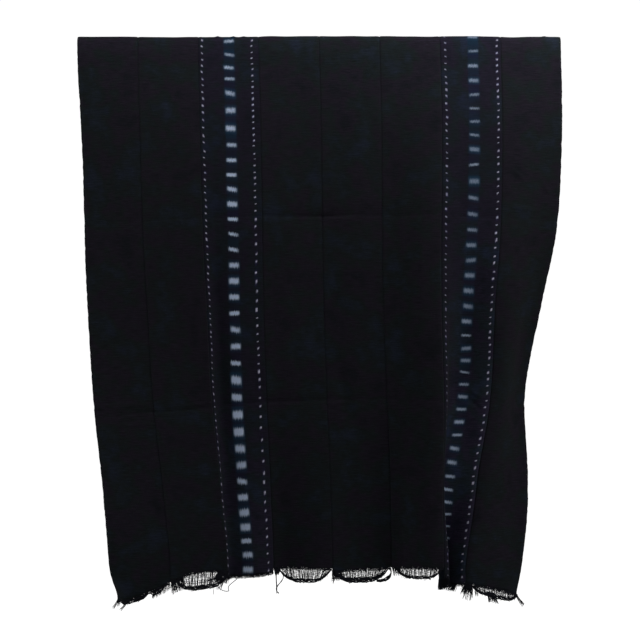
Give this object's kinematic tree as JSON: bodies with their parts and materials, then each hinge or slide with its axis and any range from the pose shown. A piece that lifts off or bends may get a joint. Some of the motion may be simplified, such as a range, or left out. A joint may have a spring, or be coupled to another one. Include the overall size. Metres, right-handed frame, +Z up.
{
  "type": "hanging indigo mud cloth",
  "caption": "Strip-woven cotton cloth dyed dark indigo, with tie-dyed dashes and dots, soft folds and a frayed end, hung over an unseen bar",
  "frame": {"origin": "the crest of the turn over the unseen bar, at the middle of the cloth's width", "axes": "+X to the right as seen from the front, +Y away from the viewer, +Z up along the warp"},
  "size_m": [1.0494, 0.1367, 1.2413],
  "materials": {
    "indigo_cotton": "matt handwoven",
    "tie_dyed_cotton": "matt handwoven with pale resist marks",
    "frayed_yarn": "matt loose yarn"
  },
  "bodies": {
    "root": {"strip_1": "indigo_cotton", "strip_2": "indigo_cotton", "strip_3": "tie_dyed_cotton", "strip_4": "indigo_cotton", "strip_5": "indigo_cotton", "strip_6": "indigo_cotton", "strip_7": "tie_dyed_cotton", "strip_8": "indigo_cotton", "fringe_1": "frayed_yarn", "fringe_2": "frayed_yarn", "fringe_3": "frayed_yarn", "fringe_4": "frayed_yarn", "fringe_5": "frayed_yarn", "fringe_6": "frayed_yarn", "fringe_7": "frayed_yarn", "fringe_8": "frayed_yarn"}
  },
  "joints": []
}
